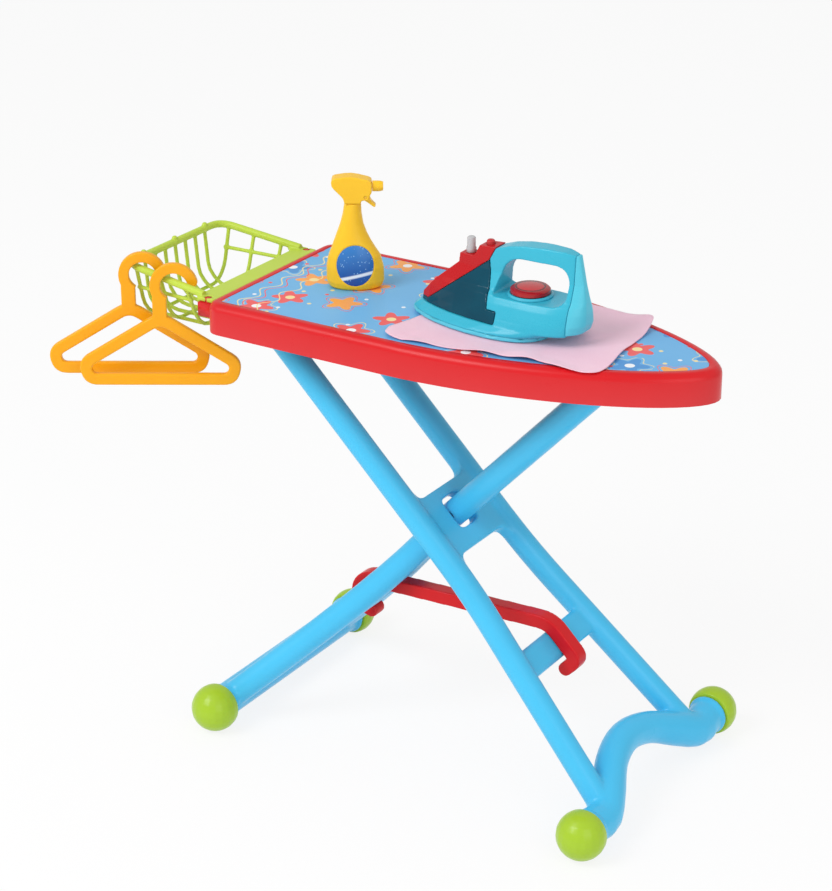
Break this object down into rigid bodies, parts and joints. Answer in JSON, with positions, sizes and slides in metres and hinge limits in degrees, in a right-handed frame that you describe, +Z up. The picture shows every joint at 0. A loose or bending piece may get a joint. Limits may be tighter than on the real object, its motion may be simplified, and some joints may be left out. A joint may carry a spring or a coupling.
{
  "type": "toy ironing board",
  "caption": "Toy ironing board on crossed folding legs with a latch bar, rear basket, clothes hangers, spray bottle, toy iron and pressing cloth, for pretend play.",
  "frame": {"origin": "middle of the set's footprint, on the floor", "axes": "+X from the basket towards the board's nose, +Y to the far side of the picture, +Z up"},
  "size_m": [0.772, 0.373, 0.6489],
  "materials": {
    "red_plastic": "smooth moulded red plastic",
    "printed_sheet": "printed plastic sheet, blue ground",
    "blue_plastic": "glossy moulded blue plastic",
    "lime_plastic": "glossy moulded lime plastic",
    "basket_plastic": "moulded yellow-green plastic",
    "hanger_plastic": "moulded orange-yellow plastic",
    "bottle_plastic": "moulded yellow plastic",
    "label_paper": "pale bare label",
    "iron_plastic": "moulded turquoise plastic",
    "iron_pale_plastic": "moulded pale turquoise plastic",
    "tank_plastic": "dark translucent teal plastic",
    "iron_red_plastic": "moulded red plastic",
    "dial_plastic": "translucent dark red plastic",
    "silver_plastic": "silver coloured plastic",
    "steel": "plain steel",
    "pink_cloth": "thin pink woven cloth"
  },
  "bodies": {
    "board": {"board_shell": "red_plastic", "board_print_sheet": "printed_sheet", "hinge_bracket_near": "red_plastic", "hinge_bracket_far": "red_plastic", "hinge_rod": "steel", "leg_track_near": "red_plastic", "leg_track_far": "red_plastic", "bracket_screw_1": "steel", "bracket_screw_2": "steel", "bracket_screw_3": "steel", "bracket_screw_4": "steel", "track_screw_1": "steel", "track_screw_2": "steel", "track_screw_3": "steel", "track_screw_4": "steel", "pressing_cloth": "pink_cloth"},
    "rear_frame": {"rear_frame": "blue_plastic", "rear_foot_near": "lime_plastic", "rear_foot_far": "lime_plastic", "cross_pivot_pin": "steel"},
    "front_leg": {"front_leg": "blue_plastic", "front_foot_near": "lime_plastic", "front_foot_far": "lime_plastic", "top_slide_pin": "steel"},
    "spreader": {"spreader_bar": "red_plastic"},
    "basket": {"basket": "basket_plastic"},
    "hanger_front": {"hanger_front": "hanger_plastic"},
    "hanger_back": {"hanger_back": "hanger_plastic"},
    "bottle": {"bottle_body": "bottle_plastic", "bottle_label": "label_paper", "bottle_head": "bottle_plastic", "bottle_nozzle": "bottle_plastic", "trigger_pin": "bottle_plastic"},
    "trigger": {"bottle_trigger": "bottle_plastic"},
    "iron": {"iron_shell_near": "iron_plastic", "iron_shell_far": "iron_plastic", "iron_sole_plate": "iron_pale_plastic", "iron_water_tank": "tank_plastic", "iron_nose_cover": "iron_red_plastic", "iron_rear_cover": "iron_pale_plastic", "iron_dial_bezel": "iron_plastic", "dial_spring": "steel", "steam_spring": "steel"},
    "dial": {"iron_dial": "dial_plastic"},
    "steam_button": {"steam_button": "iron_red_plastic"},
    "spray_knob": {"spray_knob": "silver_plastic"}
  },
  "joints": [
    {"name": "legs_fold", "type": "hinge", "parent": "board", "child": "rear_frame", "pos_m": [-0.14404, 0, 0.494], "axis": [0, 1, 0], "range_deg": [0, 5]},
    {"name": "cross_pivot", "type": "hinge", "parent": "rear_frame", "child": "front_leg", "pos_m": [0.07056, 0, 0.28058], "axis": [0, 1, 0], "range_deg": [-10.5, 0]},
    {"name": "spreader_swing", "type": "hinge", "parent": "front_leg", "child": "spreader", "pos_m": [-0.03713, 0, 0.14968], "axis": [0, -1, 0], "range_deg": [0, 2.1]},
    {"name": "basket_lift", "type": "slide", "parent": "board", "child": "basket", "axis": [0, 0, 1], "range_m": [0, 0.03]},
    {"name": "hanger_front_swing", "type": "hinge", "parent": "basket", "child": "hanger_front", "pos_m": [-0.24504, -0.09164, 0.5215], "axis": [-0.9909, 0.0531, 0.1239], "range_deg": [0, 8]},
    {"name": "hanger_back_swing", "type": "hinge", "parent": "basket", "child": "hanger_back", "pos_m": [-0.29104, -0.08918, 0.52725], "axis": [-0.9909, 0.0531, 0.1239], "range_deg": [0, 8]},
    {"name": "bottle_lift", "type": "slide", "parent": "board", "child": "bottle", "axis": [0, 0, 1], "range_m": [0, 0.06]},
    {"name": "trigger_pull", "type": "hinge", "parent": "bottle", "child": "trigger", "pos_m": [-0.05817, 0.01636, 0.6254], "axis": [-0.5299, 0.848, 0], "range_deg": [0, 12], "stiffness_Nm_per_rad": 0.2, "springref_deg": -5.73},
    {"name": "iron_lift", "type": "slide", "parent": "board", "child": "iron", "axis": [0, 0, 1], "range_m": [0, 0.06]},
    {"name": "dial_press", "type": "slide", "parent": "iron", "child": "dial", "axis": [0, 0, -1], "range_m": [0, 0.003], "stiffness_N_per_m": 200, "springref_m": -0.003, "deforming": ["dial_spring"]},
    {"name": "steam_press", "type": "slide", "parent": "iron", "child": "steam_button", "axis": [0, 0, -1], "range_m": [0, 0.0025], "stiffness_N_per_m": 150, "springref_m": -0.003, "deforming": ["steam_spring"]},
    {"name": "knob_turn", "type": "hinge", "parent": "iron", "child": "spray_knob", "pos_m": [0.09596, -0.014, 0.5978], "axis": [0, 0, 1], "range_deg": [-60, 60]}
  ],
  "couplings": [
    {"joint": "cross_pivot", "follows": "legs_fold", "ratio": -2.0775},
    {"joint": "spreader_swing", "follows": "legs_fold", "ratio": 0.4}
  ]
}
